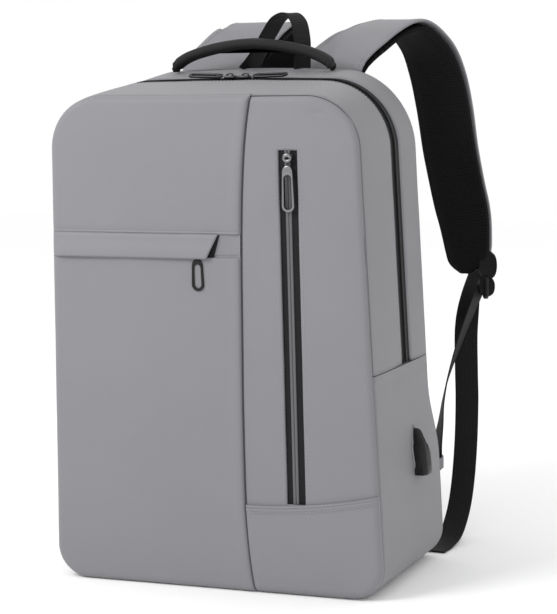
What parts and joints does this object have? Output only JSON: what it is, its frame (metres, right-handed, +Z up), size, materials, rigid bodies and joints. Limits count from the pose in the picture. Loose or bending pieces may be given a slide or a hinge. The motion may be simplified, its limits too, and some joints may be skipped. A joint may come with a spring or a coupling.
{
  "type": "laptop backpack",
  "caption": "Grey laptop backpack with a top arch zip, seamed front with hidden and upright zip pockets, black mesh straps, padded handle and a side charging port.",
  "frame": {"origin": "middle of the underside of the base, on the floor under the bag", "axes": "+Z up, -Y towards the front of the bag, +X to the right of somebody looking at its front"},
  "size_m": [0.3325, 0.2913, 0.4915],
  "materials": {
    "grey_coated_fabric": "smooth coated weave, dull sheen",
    "black_webbing": "ribbed woven webbing",
    "black_zip": "woven tape with moulded nylon coil",
    "black_mesh": "open spacer mesh, matt",
    "dark_lining": "matt lining cloth",
    "black_plastic": "satin moulded",
    "gunmetal": "dark satin plated",
    "socket_steel": "bright plated"
  },
  "bodies": {
    "bag": {"anchor_tab_left": "grey_coated_fabric", "anchor_tab_right": "grey_coated_fabric", "back_board": "grey_coated_fabric", "back_pad_left": "black_mesh", "back_pad_right": "black_mesh", "base_board": "dark_lining", "base_panel": "grey_coated_fabric", "corner_pocket": "grey_coated_fabric", "front_left_lower": "grey_coated_fabric", "front_lining_lower": "dark_lining", "front_right_lower": "grey_coated_fabric", "front_zip_lower": "black_zip", "laptop_sleeve": "dark_lining", "lumbar_pad": "black_mesh", "main_zip_coil_rear": "black_zip", "main_zip_tape_rear": "black_zip", "port_hood": "black_plastic", "port_shell": "socket_steel", "port_tongue": "black_plastic", "rear_gusset": "grey_coated_fabric", "side_pocket_left": "grey_coated_fabric", "side_pocket_right": "grey_coated_fabric", "side_wall_left": "dark_lining", "side_wall_right": "dark_lining", "strap_strand_left": "black_webbing", "strap_strand_right": "black_webbing", "strap_yoke": "grey_coated_fabric"},
    "front_flap": {"front_gusset": "grey_coated_fabric", "main_zip_tape_front": "black_zip", "main_zip_coil_front": "black_zip", "front_left_top": "grey_coated_fabric", "front_left_middle": "grey_coated_fabric", "pocket_welt": "grey_coated_fabric", "hidden_zip_tape": "black_zip", "hidden_pocket_bag": "dark_lining", "front_right_upper": "grey_coated_fabric", "front_zip_upper": "black_zip", "upright_pocket_bag": "dark_lining", "front_lining_upper": "dark_lining"},
    "main_slider_left": {"main_slider_left": "gunmetal"},
    "main_slider_right": {"main_slider_right": "gunmetal"},
    "main_pull_left": {"main_pull_left": "gunmetal"},
    "main_pull_right": {"main_pull_right": "gunmetal"},
    "front_slider": {"front_slider": "gunmetal"},
    "front_pull": {"front_pull": "gunmetal"},
    "hidden_slider": {"hidden_slider": "gunmetal"},
    "hidden_pull": {"hidden_pull": "black_plastic"},
    "strap_left": {"strap_cover_left": "grey_coated_fabric", "strap_pad_left": "black_mesh", "buckle_stub_left": "black_webbing", "strap_tail_left": "black_webbing"},
    "buckle_left": {"ladder_buckle_left": "black_plastic"},
    "strap_right": {"strap_cover_right": "grey_coated_fabric", "strap_pad_right": "black_mesh", "buckle_stub_right": "black_webbing", "strap_tail_right": "black_webbing"},
    "buckle_right": {"ladder_buckle_right": "black_plastic"},
    "handle": {"handle_grip": "black_webbing"},
    "loop": {"hang_loop": "black_webbing"}
  },
  "joints": [
    {"name": "front_opening", "type": "hinge", "parent": "bag", "child": "front_flap", "pos_m": [0, -0.0935, 0.2], "axis": [1, 0, 0], "range_deg": [0, 55]},
    {"name": "main_zip_left", "type": "slide", "parent": "front_flap", "child": "main_slider_left", "axis": [-1, 0, 0], "range_m": [0, 0.075]},
    {"name": "main_zip_right", "type": "slide", "parent": "front_flap", "child": "main_slider_right", "axis": [1, 0, 0], "range_m": [0, 0.075]},
    {"name": "main_pull_left_swing", "type": "hinge", "parent": "main_slider_left", "child": "main_pull_left", "pos_m": [-0.0134, -0.00573, 0.43586], "axis": [0, 1, 0], "range_deg": [0, 90]},
    {"name": "main_pull_right_swing", "type": "hinge", "parent": "main_slider_right", "child": "main_pull_right", "pos_m": [0.0124, -0.00573, 0.43586], "axis": [0, -1, 0], "range_deg": [0, 90]},
    {"name": "front_zip", "type": "slide", "parent": "front_flap", "child": "front_slider", "axis": [-0.0035, 0.0499, -0.9987], "range_m": [0, 0.12]},
    {"name": "front_pull_swing", "type": "hinge", "parent": "front_slider", "child": "front_pull", "pos_m": [0.07696, -0.09518, 0.3641], "axis": [-1, 0, 0], "range_deg": [0, 90]},
    {"name": "hidden_zip", "type": "slide", "parent": "front_flap", "child": "hidden_slider", "axis": [-1, 0, 0], "range_m": [0, 0.11]},
    {"name": "hidden_pull_swing", "type": "hinge", "parent": "hidden_slider", "child": "hidden_pull", "pos_m": [-0.0052, -0.09268, 0.2845], "axis": [-1, 0, 0], "range_deg": [0, 90]},
    {"name": "handle_swing", "type": "hinge", "parent": "bag", "child": "handle", "pos_m": [0, 0.03, 0.442], "axis": [1, 0, 0], "range_deg": [0, 40]},
    {"name": "loop_swing", "type": "hinge", "parent": "bag", "child": "loop", "pos_m": [0.0155, 0.0505, 0.4465], "axis": [1, 0, 0], "range_deg": [-20, 0]},
    {"name": "strap_right_lift", "type": "hinge", "parent": "bag", "child": "strap_right", "pos_m": [0.06, 0.0635, 0.43], "axis": [1, 0, 0], "range_deg": [0, 12], "deforming": ["strap_strand_right"]},
    {"name": "buckle_right_tilt", "type": "hinge", "parent": "strap_right", "child": "buckle_right", "pos_m": [0.1715, 0.179, 0.2518], "axis": [0.342, -0.9397, 0], "range_deg": [0, 35]},
    {"name": "strap_left_lift", "type": "hinge", "parent": "bag", "child": "strap_left", "pos_m": [-0.052, 0.0635, 0.43], "axis": [1, 0, 0], "range_deg": [0, 12], "deforming": ["strap_strand_left"]},
    {"name": "buckle_left_tilt", "type": "hinge", "parent": "strap_left", "child": "buckle_left", "pos_m": [-0.01989, 0.179, 0.2518], "axis": [0.342, -0.9397, 0], "range_deg": [0, 35]}
  ]
}
